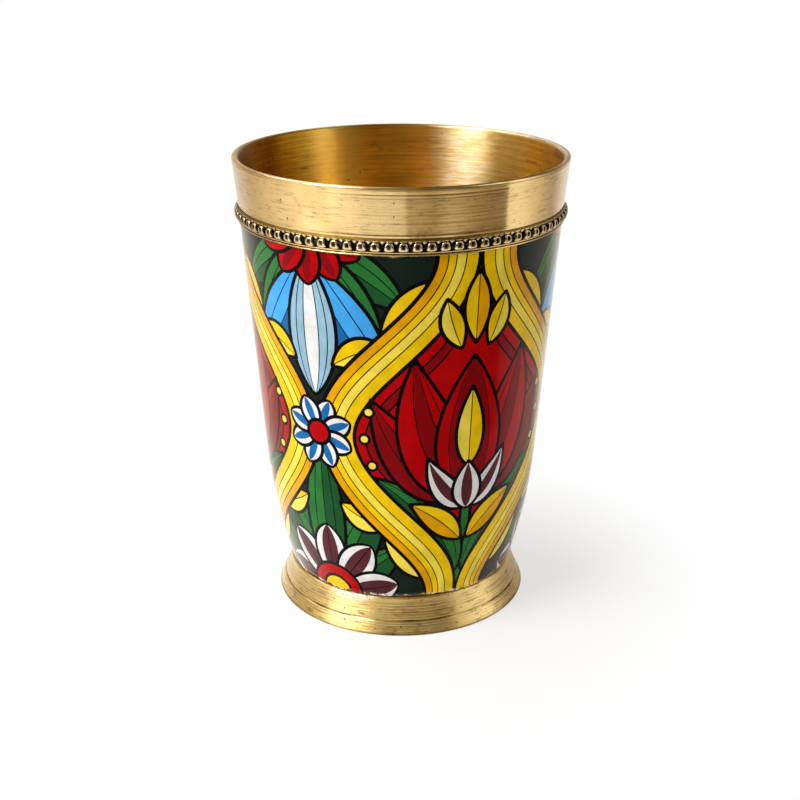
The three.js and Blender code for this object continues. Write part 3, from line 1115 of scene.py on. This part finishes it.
def brass_material(name, bright, dark, line_depth=0.008 * MM, roughness=0.17, spread=0.95, darkening=0.4):
    """Lacquered brass with turning lines, pits and stains. A piece may mark its inside, which is bare and
    deeper in colour, partly as painted shade; its places of tarnish and painted shade, of painted highlight
    and of a painted bright reflection; its black patina and painted shade; and its dried glue, also a painted
    highlight."""
    material, nodes, place = new_material(name)
    space = turned_space(nodes, place)
    inside = nodes.mark("inside")
    cloud = nodes.noise(place, 95.0, 4.0, 0.55)
    colour = nodes.blend(nodes.ranged(cloud, 0.36, 0.66), bright, dark)
    colour, fine, bold = turning_lines(nodes, space, colour, inside)
    stain = nodes.ranged(nodes.noise(place, 230.0, 3.0, 0.6), 0.62, 0.74, 0.0, darkening)
    colour = aged(nodes, space, colour, stain, inside)
    pit = nodes.specks(place, 620.0, 0.91, 0.99, 0.17)
    colour = nodes.blend(nodes.times(pit, 0.85), colour, TINTS["pit"])
    ragged = nodes.times(nodes.math("SUBTRACT", nodes.noise(place, 700.0), 0.5), 0.5)
    # Black patina, and painted shade where the piece marks it as such
    patina_and_shade_share = nodes.times(nodes.mark("patina"), nodes.plus(ragged, 1.0), clamp=True)
    colour, glue_and_highlight_share = residue(nodes, place, nodes.blend(patina_and_shade_share, colour, TINTS["patina"]))
    rough = nodes.times(nodes.between(inside, roughness, INSIDE_ROUGHNESS), nodes.between(fine, 0.85, 1.15))
    rough = nodes.plus(rough, nodes.times(stain, 0.10))
    ripple = nodes.times(turned_noise(nodes, space, 5.0, 420, 1.0), inside)
    height = nodes.plus(nodes.times(fine, 0.6), nodes.times(bold, 0.4))
    height = nodes.math("SUBTRACT", height, nodes.times(pit, 1.5))
    height = nodes.plus(height, nodes.times(ripple, 5.0))
    bare = nodes.math("MAXIMUM", inside, patina_and_shade_share)
    shader = nodes.add("BsdfPrincipled", {
        "Base Color": colour, "Metallic": nodes.between(glue_and_highlight_share, 1.0, 0.2),
        "Roughness": nodes.between(patina_and_shade_share, rough, PATINA_AND_SHADE_ROUGHNESS), "Normal": nodes.bump(height, line_depth),
        "Anisotropic": spread, "Anisotropic Rotation": 0.25,
        "Tangent": nodes.add("Tangent", direction_type="RADIAL", axis="Z").outputs[0],
        "Coat Weight": nodes.math("SUBTRACT", 1.0, bare, clamp=True), "Coat Roughness": 0.12, "Coat IOR": 1.5,
    })
    nodes.add("OutputMaterial", {"Surface": shader.outputs[0]})
    return material


# Stage

# Brightness of the room by azimuth, from behind the tumbler on the left round to behind it on the right
ROOM = ((-180, 0.9), (-165, 0.9), (-150, 0.8), (-128, 0.36), (-104, 0.4), (-94, 0.45), (-84, 0.6), (-74, 1.3),
        (-66, 2.1), (-55, 2.3), (-48, 1.0), (-40, 0.45), (-26, 0.25), (-14, 0.32), (0, 0.30), (20, 0.14),
        (50, 0.12), (56, 0.8), (70, 1.15), (84, 1.42), (96, 1.3), (104, 0.6), (112, 0.28), (128, 0.28),
        (145, 0.6), (180, 0.9))
# The same a little below the level of the lip, then well below it, then as brass shows the paper
MIDDLE = ((-180, 0.6), (-100, 0.6), (-40, 0.5), (-25, 0.1), (0, 0.06), (76, 0.08), (84, 0.5), (104, 0.4),
          (115, 0.15), (130, 0.15), (150, 0.5), (180, 0.6))
UNDER = ((-180, 0.9), (-70, 0.8), (-45, 0.4), (0, 0.7), (8, 0.75), (23, 0.62), (37, 0.86), (52, 0.60),
         (66, 0.42), (80, 0.42), (110, 0.8), (180, 0.9))
PAPER = ((-180, 0.8), (-150, 0.7), (-116, 0.52), (-96, 0.7), (-78, 1.0), (-64, 1.35), (-46, 1.45),
         (-20, 1.15), (-8, 1.05), (40, 1.0), (84, 1.1), (104, 0.66), (122, 0.34), (140, 0.8), (180, 0.9))
# Slopes of view over which one of these levels turns into the one above it, and the ceiling over them all
UNDER_END = (-0.45, -0.30)
MIDDLE_END = (-0.06, 0.08)
ROOM_END = (0.75, 0.95)
CEILING = (0.3, 0.3, 0.3, 1)
WHITE = (1, 1, 1, 1)


def azimuth_share(nodes, place):
    """Azimuth of a place or direction, as a share of the full turn from behind the tumbler."""
    x, y, z = nodes.add("SeparateXYZ", {0: place}).outputs
    azimuth = nodes.math("ARCTAN2", x, nodes.times(y, -1.0))
    return nodes.add("MapRange", {0: azimuth, 1: -math.pi, 2: math.pi, 3: 0.0, 4: 1.0}).outputs[0]


WARMTH = np.array([1.0, 0.84, 0.62])
WARM_SPAN = 0.4


def level_ramp(nodes, share, levels):
    """Brightness by azimuth. Its dark parts are warm, as a room's are."""
    ramp = nodes.add("ValToRGB", {0: share})
    stops = ramp.color_ramp.elements
    for i, (angle, level) in enumerate(levels):
        position = (angle + 180) / 360
        stop = stops[i] if i < 2 else stops.new(position)
        stop.position = position
        warm = min(max((1.0 - level) / WARM_SPAN, 0), 1)
        stop.color = (*(level * (1 - warm + warm * WARMTH)), 1)
    return ramp.outputs[0]


FLOOR_LIFT = 0.60
FLOOR_SHADE = 0.42
SHADOW_START = 0.038
SHADOW_END = 0.095
GLOSS_START = 0.05
GLOSS_END = 0.13
GLOSS_SHARE = 0.75
FLOOR_BACK = 3.0
FLOOR_SIDE = 1.5
FLOOR_FRONT = -0.34
SHEET_FRONT = -0.105
SHEET_SIDE = 0.095
SHEET_CORNER = 0.0145
DARK_AZIMUTH = 73.5


def floor_material():
    """White paper. What the camera sees of it is lifted to white far off, and keeps the shadow near by."""
    material, nodes, place = new_material("paper")
    paper = nodes.blend(nodes.noise(place, 900.0), (0.90, 0.90, 0.90, 1), (0.92, 0.92, 0.92, 1))
    light_path = nodes.add("LightPath")
    camera_ray = light_path.outputs["Is Camera Ray"]
    shade = (FLOOR_SHADE, FLOOR_SHADE, FLOOR_SHADE, 1)
    colour = nodes.blend(camera_ray, paper, shade, "MULTIPLY")
    diffuse = nodes.add("BsdfDiffuse", {"Color": colour}).outputs[0]
    glow = nodes.add("Emission", {"Color": WHITE, "Strength": nodes.times(camera_ray, FLOOR_LIFT)}).outputs[0]
    near = nodes.add("AddShader", {0: diffuse, 1: glow}).outputs[0]
    far = nodes.add("Emission", {"Color": WHITE, "Strength": 1.0}).outputs[0]
    distance = nodes.add("VectorMath", {0: place}, operation="LENGTH").outputs["Value"]
    fade = nodes.times(camera_ray, nodes.ranged(distance, SHADOW_START, SHADOW_END))
    seen = nodes.add("MixShader", {0: fade, 1: near, 2: far}).outputs[0]
    level = level_ramp(nodes, azimuth_share(nodes, place), PAPER)
    # For rays that brass reflects, the paper away from the tumbler glows at a set level by azimuth: painted
    # light that stands for the lit paper
    mirrored_paper = nodes.add("Emission", {"Color": level, "Strength": 1.0}).outputs[0]
    clear = nodes.ranged(distance, GLOSS_START, GLOSS_END, 0.0, GLOSS_SHARE)
    glossy = nodes.times(light_path.outputs["Is Glossy Ray"], clear)
    both = nodes.add("MixShader", {0: glossy, 1: seen, 2: mirrored_paper}).outputs[0]
    nodes.add("OutputMaterial", {"Surface": both})
    return material


def make_floor():
    """A sheet of paper that is cut away to the camera's right, so that brass shows the darker room there."""
    slope = 1 / math.tan(math.radians(DARK_AZIMUTH))
    near = 1.3 * SHEET_SIDE
    corners = [(-FLOOR_SIDE, FLOOR_FRONT, 0), (SHEET_CORNER, FLOOR_FRONT, 0), (SHEET_CORNER, SHEET_FRONT, 0),
               (SHEET_SIDE, SHEET_FRONT, 0), (near, -near * slope, 0), (FLOOR_SIDE, -FLOOR_SIDE * slope, 0),
               (FLOOR_SIDE, FLOOR_BACK, 0), (-FLOOR_SIDE, FLOOR_BACK, 0)]
    new_piece("paper_floor", corners, [tuple(range(len(corners)))], floor_material())


def around(azimuth, elevation, distance):
    """A point about the tumbler. Azimuth 0 is towards the camera, and 90 is to the camera's right."""
    a, e = math.radians(azimuth), math.radians(elevation)
    middle = Vector((0, 0, HEIGHT / 2))
    return middle + distance * Vector((math.sin(a) * math.cos(e), -math.cos(a) * math.cos(e), math.sin(e)))


def make_lamp(name, azimuth, elevation, distance, width, height, power):
    lamp = bpy.data.lights.new(name, "AREA")
    lamp.shape = "RECTANGLE"
    lamp.size = width
    lamp.size_y = height
    lamp.energy = power
    holder = bpy.data.objects.new(name, lamp)
    holder.location = around(azimuth, elevation, distance)
    aim = Vector((0, 0, HEIGHT / 2)) - holder.location
    holder.rotation_euler = aim.to_track_quat("-Z", "Y").to_euler()
    bpy.context.scene.collection.objects.link(holder)


def make_world():
    """A white room with a darker side to the camera's right. The camera itself sees plain white."""
    world = bpy.data.worlds.new("studio")
    bpy.context.scene.world = world
    nodes = Nodes(world)
    direction = nodes.add("TexCoord").outputs["Generated"]
    z = nodes.add("SeparateXYZ", {0: direction}).outputs[2]
    share = azimuth_share(nodes, direction)
    low = level_ramp(nodes, share, UNDER)
    middle = level_ramp(nodes, share, MIDDLE)
    high = level_ramp(nodes, share, ROOM)
    room = nodes.blend(nodes.ranged(z, *UNDER_END), low, middle)
    room = nodes.blend(nodes.ranged(z, *MIDDLE_END), room, high)
    room = nodes.blend(nodes.ranged(z, *ROOM_END), room, CEILING)
    camera_ray = nodes.add("LightPath").outputs["Is Camera Ray"]
    colour = nodes.blend(camera_ray, room, WHITE)
    background = nodes.add("Background", {"Color": colour, "Strength": 1.0})
    nodes.add("OutputWorld", {"Surface": background.outputs[0]})


CAMERA_DISTANCE = 0.33304
CAMERA_SIDE = -0.00027
CAMERA_HEIGHT = 0.18102
CAMERA_PITCH = 21.196
CAMERA_LENS = 60.72
CAMERA_SENSOR = 36


def make_camera():
    camera = bpy.data.cameras.new("camera")
    camera.lens = CAMERA_LENS
    camera.sensor_width = CAMERA_SENSOR
    holder = bpy.data.objects.new("camera", camera)
    holder.location = (CAMERA_SIDE, -CAMERA_DISTANCE, CAMERA_HEIGHT)
    holder.rotation_euler = (math.radians(90 - CAMERA_PITCH), 0, 0)
    bpy.context.scene.collection.objects.link(holder)
    bpy.context.scene.camera = holder


# Pieces

# Turn in degrees, spread and strength of places inside the cup: painted shade, painted highlight, a painted
# bright reflection and deeper painted shade
INSIDE_SHADE = ((-108, 33, 1.0),)
INSIDE_HIGHLIGHT = ((154, 12, 0.9), (132, 14, 0.15))
INSIDE_BRIGHT_BAR = ((-154, 10, 1.0),)
INSIDE_DEEP_SHADE = ((-99, 11, 0.35),)
# The same on the lip: painted shade inside it, places on it darkened as painted shade and paled as painted
# highlight, and painted shade along its outer edge
LIP_INSIDE_SHADE = ((90, 14, 0.9),)
LIP_DARK = ((34, 36, 0.55),)
LIP_HIGHLIGHT = ((-28, 22, 0.9), (128, 44, 0.9))
LIP_EDGE = ((112, 60, 0.6),)
# The same on the moulding, where painted shade darkens the sides that the camera sees, and on the foot, where
# painted shade darkens one side
SIDE_SHADE = ((-84, 30, 0.66), (84, 26, 0.58))
FOOT_SHADE = ((-54, 18, 0.36),)

INSIDE_DEPTH = 0.9 * MM
LIP_TOP = HEIGHT - 0.1 * MM
LIP_FADE = 1.5 * MM
LIP_FADE_START = 2.4
LIP_EDGE_WIDTH = 0.5 * MM
UNDER_LIP = FLARE_TOP - 0.2 * MM
UNDER_LIP_HALF = 0.15 * MM
UNDER_LIP_GRIME = 0.4
# Painted shade on the lip's top and at its inner corner
LIP_TOP_SHADE = 0.2
LIP_CORNER_SHADE = 0.5
BEAD_MARGIN = 0.1 * MM


def mark_cup(cup, vertices):
    """Where the cup has painted shade, painted highlights and a painted bright reflection, inside and on its
    lip, patina in the line under its lip, and patina with painted shade behind the beads.
    """
    radius, height, turn = radii(vertices), vertices[:, 2], turns(vertices)
    within = (radius < radius_on(skin, height) - INSIDE_DEPTH) & (height > FLOOR_HEIGHT + FLOOR_THICKNESS / 2)
    lip_top = height > LIP_TOP
    lip_inside = within & (height > HEIGHT - INNER_LIP_ROUND)
    # Painted highlight: pale places on the lip
    lip_highlight = zones(turn, LIP_HIGHLIGHT, FIRM)
    near_lip = faded(HEIGHT - height, LIP_FADE, LIP_FADE_START)
    # Painted shade inside the cup, and inside just under the lip on the camera's right
    darkening = np.maximum(zones(turn, INSIDE_SHADE, HARD), near_lip * zones(turn, LIP_INSIDE_SHADE, HARD))
    mark(cup, "inside", within | lip_top)
    mark(cup, "tarnished", within * darkening)
    # Painted highlight: pale places inside the cup and on the lip
    mark(cup, "worn", np.maximum(within * zones(turn, INSIDE_HIGHLIGHT, SOFT), (lip_top | lip_inside) * lip_highlight))
    # Painted bright reflection: an amber bar inside the cup
    mark(cup, "polished", within * zones(turn, INSIDE_BRIGHT_BAR, FIRM))
    # Patina and painted shade on the wall behind the beads
    behind_beads = ~within & (height > lower_high.z - BEAD_MARGIN) & (height < upper_low.z + BEAD_MARGIN)
    under_lip = ~within & (np.abs(height - UNDER_LIP) < UNDER_LIP_HALF)
    lip_corner = (height > FLARE_TOP) & (radius < LIP_RADIUS - LIP_THICKNESS + LIP_ROUND)
    lip_edge = lip_top & (radius > LIP_RADIUS - LIP_EDGE_WIDTH)
    # Painted shade on the lip's top, inner corner and outer edge, with patina in the line under the lip
    lip_patina_and_shade = UNDER_LIP_GRIME * under_lip + lip_top * (LIP_TOP_SHADE + zones(turn, LIP_DARK, FIRM))
    lip_patina_and_shade = lip_patina_and_shade + LIP_CORNER_SHADE * lip_corner
    lip_patina_and_shade = np.maximum(lip_patina_and_shade * (1 - lip_highlight), lip_edge * zones(turn, LIP_EDGE, FIRM))
    # Deeper painted shade on the left inside the cup
    inside_deep_shade = within * zones(turn, INSIDE_DEEP_SHADE, SOFT)
    mark(cup, "patina", np.maximum.reduce([behind_beads, lip_patina_and_shade, inside_deep_shade]))


def make_cup():
    brass = brass_material("cup_brass", (0.92, 0.64, 0.25, 1), (0.80, 0.53, 0.18, 1))
    vertices, faces = lathe(joined(cup_outside(), cup_inside()))
    cup = new_piece("cup", dented(vertices, depth=0.035 * MM, size=9 * MM, seed=3), faces, brass)
    mark_cup(cup, vertices)
    seat(cup, "cup_shell")


# Turn in degrees, height, half width in degrees and half height of each dried drop on the foot
FOOT_DROPS = ((-1, 5.8 * MM, 2.6, 1.0 * MM), (21, 4.9 * MM, 4.0, 0.8 * MM), (-5, 1.4 * MM, 2.2, 0.7 * MM))
DROP_STRENGTH = 0.6
DROP_OUTLINE = 0.35


def dried_drops(turn, level):
    """Faint outlines that drops left on the foot as they dried."""
    faint = np.zeros(len(turn))
    for place, height, half_width, half_height in FOOT_DROPS:
        away = np.hypot((turn - place) / half_width, (level - height) / half_height)
        faint = np.maximum(faint, DROP_STRENGTH * np.exp(-((away - 1) / DROP_OUTLINE) ** 2))
    return faint


def line_shares(level):
    """How far each level lies in the lines round the foot, more for a deeper line."""
    half = FOOT_LINE_WIDTH / 2
    lines = [depth * np.exp(-((level - height) / half) ** 2) for height, depth in foot_lines()]
    return np.max(lines, axis=0) / FOOT_LINE_DEPTH


GLUE_HIGHLIGHT_TURN = -25
GLUE_HIGHLIGHT_SPREAD = 16
GLUE_HIGHLIGHT_DROP = 2.4 * MM
GROOVE_GRIME_HALF = 0.45 * GROOVE_WIDTH
FOOT_LINE_GRIME = 0.4
FOOT_EDGE_SHADE = 0.6
FOOT_EDGE_START = 2.2


def mark_foot(foot, vertices):
    """Where the foot has painted shade on one side and faint stains where drops dried, patina in its groove
    and lines, painted shade along its lower edge, and flecks of glue that also serve as a painted highlight.
    """
    level, turn = vertices[:, 2], turns(vertices)
    # Painted shade on one side, and faint stains where drops dried
    mark(foot, "tarnished", np.maximum(zones(turn, FOOT_SHADE, SOFT), dried_drops(turn, level)))
    in_groove = np.abs(level - GROOVE_HEIGHT) < GROOVE_GRIME_HALF
    broken = 0.5 + 0.25 * np.sin(np.radians(7 * turn)) + 0.2 * np.sin(np.radians(23 * turn))
    dark_lines = broken * np.maximum(in_groove, FOOT_LINE_GRIME * line_shares(level))
    # Painted shade along the lower edge
    edge_shade = FOOT_EDGE_SHADE * faded(level, FOOT_EDGE, FOOT_EDGE_START)
    mark(foot, "patina", (radii(vertices) > NECK_RADIUS) * np.maximum(dark_lines, edge_shade))
    # Flecks of pale glue, placed where they also serve as a painted highlight on the foot's brightest side
    across = (turn - GLUE_HIGHLIGHT_TURN) / GLUE_HIGHLIGHT_SPREAD
    up = (level - foot_high.z) / GLUE_HIGHLIGHT_DROP
    mark(foot, "residue", np.exp(-across ** 2 - up ** 2))


def make_foot():
    brass = brass_material(
        "foot_brass", (0.95, 0.69, 0.26, 1), (0.86, 0.60, 0.20, 1), line_depth=0.015 * MM, roughness=0.30)
    vertices, faces = lathe(foot_profile())
    foot = new_piece("foot", dented(vertices, depth=0.02 * MM, size=7 * MM, seed=5), faces, brass)
    mark_foot(foot, vertices)
    seat(foot, "foot_ring")


# Painted shade on the ledge's nose, beside its points, on its top, and how much deeper it is next to the wall
NOSE_SHADE = 0.15
POINT_SHADE = 0.6
POINT_FADE = 0.06
POINT_FADE_START = 2.2
LEDGE_SHADE = 0.60
WALL_SHADE = 0.3
WALL_SHADE_DEPTH = 0.5 * MM


def make_upper_rail(brass):
    """The ledge over the beads, with painted shade on its top and beside each of its points, and a painted
    highlight on the rest of its nose.
    """
    vertices, faces, apart = upper_rail()
    ledge = new_piece("ledge_rail", vertices, faces, brass)
    depth = upper_high.x - radii(vertices)
    on_top = vertices[:, 2] > LEDGE_FOOT
    top_shade = LEDGE_SHADE + WALL_SHADE * np.clip(depth / WALL_SHADE_DEPTH, 0, 1)
    shaded = faded(np.abs(apart - SCALLOP_SHARE), POINT_FADE, POINT_FADE_START)
    patina = np.where(on_top, top_shade, NOSE_SHADE + POINT_SHADE * shaded)
    mark(ledge, "patina", np.maximum(patina, zones(turns(vertices), SIDE_SHADE, SOFT)))
    # Its top takes the inside's deeper tint, as painted shade
    mark(ledge, "inside", on_top)
    # Painted highlight on the nose away from the sides of its points
    mark(ledge, "worn", ~on_top * (1 - shaded))
    seat(ledge, "upper_bead_rail")


VALLEY_FADE = 0.1 * MM
VALLEY_FADE_START = 1.6


def make_lower_rail(brass):
    """The thin rail under the beads, dark in its groove."""
    vertices, faces = lathe(lower_rail_profile())
    rail = new_piece("fillet_rail", vertices, faces, brass)
    mark(rail, "patina", faded(np.abs(vertices[:, 2] - VALLEY_HEIGHT), VALLEY_FADE, VALLEY_FADE_START))
    seat(rail, "lower_bead_rail")


def make_beads():
    brass = brass_material(
        "bead_brass", (0.95, 0.76, 0.45, 1), (0.86, 0.64, 0.32, 1),
        line_depth=0.001 * MM, roughness=0.08, spread=0.0, darkening=0.2)
    vertices, faces, patina = beaded_wire()
    beads = new_piece("beads", vertices, faces, brass)
    # Painted shade darkens the beads at the sides that the camera sees
    mark(beads, "patina", np.maximum(patina, zones(turns(vertices), SIDE_SHADE, SOFT)))
    seat(beads, "beaded_wire")


def make_moulding():
    rail_brass = brass_material(
        "moulding_brass", (0.88, 0.61, 0.24, 1), (0.78, 0.51, 0.18, 1),
        line_depth=0.002 * MM, roughness=0.18, spread=0.4)
    make_upper_rail(rail_brass)
    make_lower_rail(rail_brass)
    make_beads()


def make_braze():
    brass = brass_material(
        "brazing_brass", (0.62, 0.42, 0.18, 1), (0.40, 0.26, 0.11, 1),
        line_depth=0.02 * MM, roughness=0.5, spread=0.0, darkening=0.9)
    vertices, faces = lathe(fillet_profile())
    run = new_piece("braze_run", dented(vertices, depth=0.15 * MM, size=5 * MM, seed=7), faces, brass)
    seat(run, "braze_fillet")


def make_sleeve():
    vertices, facing, faces, inks, corners = sleeve_mesh()
    sleeve = new_piece("sleeve", vertices, faces.tolist(), film_material())
    mesh = sleeve.data
    colours = np.array([linear(*ink) for ink in INKS.values()])[inks]
    ink = mesh.color_attributes.new("ink", "FLOAT_COLOR", "CORNER")
    ink.data.foreach_set("color", np.repeat(colours, 3, axis=0).ravel())
    mesh.uv_layers.new(name="OFBake").data.foreach_set("uv", corners.ravel())
    mesh.normals_split_custom_set_from_vertices(facing)
    seat(sleeve, "print_sleeve")


make_camera()
make_world()
make_floor()
make_lamp("key", azimuth=-58, elevation=48, distance=1.0, width=0.5, height=0.55, power=6.6)
make_lamp("side", azimuth=-116, elevation=50, distance=1.0, width=0.5, height=0.5, power=2.8)
make_cup()
make_foot()
make_moulding()
make_braze()
make_sleeve()
bpy.context.scene.view_settings.view_transform = "Standard"
